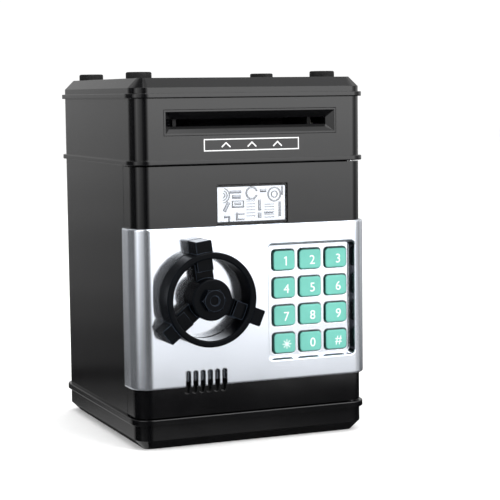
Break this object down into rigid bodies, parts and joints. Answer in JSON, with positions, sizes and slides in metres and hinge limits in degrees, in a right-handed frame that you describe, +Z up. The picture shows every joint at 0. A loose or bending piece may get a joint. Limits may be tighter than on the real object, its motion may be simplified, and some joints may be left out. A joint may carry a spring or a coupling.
{
  "type": "toy atm savings bank",
  "caption": "Free-standing toy cash machine money box with a hinged safe door, keypad, handwheel lock and a motor-fed banknote slot.",
  "frame": {"origin": "middle of the underside, on the surface it stands on", "axes": "+Z up, -Y out of the door, +X to the right as seen from the front"},
  "size_m": [0.129, 0.1452, 0.1882],
  "materials": {
    "gloss_black": "high gloss moulded black",
    "silver": "bright silver coated plastic",
    "wheel_black": "semi gloss black",
    "teal_key": "satin teal",
    "black_rubber": "matt rubber",
    "inner_black": "textured moulded black",
    "steel": "plated steel",
    "brass": "turned brass",
    "white_plastic": "natural moulded plastic",
    "clear": "clear acrylic",
    "printed_card": "silver printed card",
    "board_green": "solder mask",
    "grey_rubber": "silicone rubber",
    "cell_wrap": "printed sleeve"
  },
  "bodies": {
    "case": {"base_tray": "gloss_black", "bottom_plate": "inner_black", "base_screws": "steel", "safe_case": "gloss_black", "head_case": "gloss_black", "slot_bezel": "gloss_black", "top_lid": "gloss_black", "lid_pads": "black_rubber", "coin_chute": "inner_black", "roller_frame_left": "inner_black", "roller_frame_right": "inner_black", "feed_motor": "steel", "motor_bracket": "steel", "note_guide": "inner_black", "note_deflector": "inner_black", "hinge_pin_lower": "steel", "hinge_pin_upper": "steel", "strike_plate": "steel"},
    "feed_roller": {"feed_shaft": "steel", "feed_tyres": "black_rubber", "feed_gear": "white_plastic"},
    "pinch_roller": {"pinch_shaft": "steel", "pinch_tyres": "black_rubber"},
    "motor_rotor": {"motor_spindle": "steel", "motor_pinion": "brass"},
    "door": {"door_shell": "gloss_black", "silver_panel": "silver", "window_card": "printed_card", "window_lens": "clear", "keypad_mat": "grey_rubber", "main_board": "board_green", "speaker": "inner_black", "battery_box": "inner_black", "battery_cells": "cell_wrap", "battery_contacts": "steel", "battery_cover": "inner_black", "door_back_cover": "inner_black", "door_screws": "steel", "spindle_bush": "brass", "lock_solenoid": "steel"},
    "wheel": {"handwheel": "wheel_black", "wheel_bolt": "wheel_black", "wheel_spindle": "steel", "lock_disc": "white_plastic", "latch_cam": "steel"},
    "plunger": {"lock_plunger": "steel"},
    "key_1_button": {"key_1": "teal_key"},
    "key_2_button": {"key_2": "teal_key"},
    "key_3_button": {"key_3": "teal_key"},
    "key_4_button": {"key_4": "teal_key"},
    "key_5_button": {"key_5": "teal_key"},
    "key_6_button": {"key_6": "teal_key"},
    "key_7_button": {"key_7": "teal_key"},
    "key_8_button": {"key_8": "teal_key"},
    "key_9_button": {"key_9": "teal_key"},
    "key_star_button": {"key_star": "teal_key"},
    "key_0_button": {"key_0": "teal_key"},
    "key_hash_button": {"key_hash": "teal_key"}
  },
  "joints": [
    {"name": "feed_spin", "type": "hinge", "parent": "case", "child": "feed_roller", "pos_m": [0, -0.0385, 0.15595], "axis": [1, 0, 0], "continuous": true},
    {"name": "pinch_spin", "type": "hinge", "parent": "case", "child": "pinch_roller", "pos_m": [0, -0.0385, 0.16735], "axis": [1, 0, 0], "continuous": true},
    {"name": "motor_spin", "type": "hinge", "parent": "case", "child": "motor_rotor", "pos_m": [0.043, -0.0265, 0.15595], "axis": [1, 0, 0], "continuous": true},
    {"name": "door_swing", "type": "hinge", "parent": "case", "child": "door", "pos_m": [0.058, -0.0545, 0.079], "axis": [0, 0, 1], "range_deg": [0, 105]},
    {"name": "wheel_turn", "type": "hinge", "parent": "door", "child": "wheel", "pos_m": [-0.0282, -0.0625, 0.076], "axis": [0, -1, 0], "range_deg": [0, 90]},
    {"name": "plunger_slide", "type": "slide", "parent": "door", "child": "plunger", "axis": [0, 0, -1], "range_m": [0, 0.003]},
    {"name": "key_1_press", "type": "slide", "parent": "door", "child": "key_1_button", "axis": [0, 1, 0], "range_m": [0, 0.0012], "stiffness_N_per_m": 400},
    {"name": "key_2_press", "type": "slide", "parent": "door", "child": "key_2_button", "axis": [0, 1, 0], "range_m": [0, 0.0012], "stiffness_N_per_m": 400},
    {"name": "key_3_press", "type": "slide", "parent": "door", "child": "key_3_button", "axis": [0, 1, 0], "range_m": [0, 0.0012], "stiffness_N_per_m": 400},
    {"name": "key_4_press", "type": "slide", "parent": "door", "child": "key_4_button", "axis": [0, 1, 0], "range_m": [0, 0.0012], "stiffness_N_per_m": 400},
    {"name": "key_5_press", "type": "slide", "parent": "door", "child": "key_5_button", "axis": [0, 1, 0], "range_m": [0, 0.0012], "stiffness_N_per_m": 400},
    {"name": "key_6_press", "type": "slide", "parent": "door", "child": "key_6_button", "axis": [0, 1, 0], "range_m": [0, 0.0012], "stiffness_N_per_m": 400},
    {"name": "key_7_press", "type": "slide", "parent": "door", "child": "key_7_button", "axis": [0, 1, 0], "range_m": [0, 0.0012], "stiffness_N_per_m": 400},
    {"name": "key_8_press", "type": "slide", "parent": "door", "child": "key_8_button", "axis": [0, 1, 0], "range_m": [0, 0.0012], "stiffness_N_per_m": 400},
    {"name": "key_9_press", "type": "slide", "parent": "door", "child": "key_9_button", "axis": [0, 1, 0], "range_m": [0, 0.0012], "stiffness_N_per_m": 400},
    {"name": "key_star_press", "type": "slide", "parent": "door", "child": "key_star_button", "axis": [0, 1, 0], "range_m": [0, 0.0012], "stiffness_N_per_m": 400},
    {"name": "key_0_press", "type": "slide", "parent": "door", "child": "key_0_button", "axis": [0, 1, 0], "range_m": [0, 0.0012], "stiffness_N_per_m": 400},
    {"name": "key_hash_press", "type": "slide", "parent": "door", "child": "key_hash_button", "axis": [0, 1, 0], "range_m": [0, 0.0012], "stiffness_N_per_m": 400}
  ],
  "couplings": [
    {"joint": "pinch_spin", "follows": "feed_spin", "ratio": -1.5},
    {"joint": "motor_spin", "follows": "feed_spin", "ratio": -2},
    {"joint": "plunger_slide", "follows": "wheel_turn", "m_per_rad": 0.0019}
  ]
}
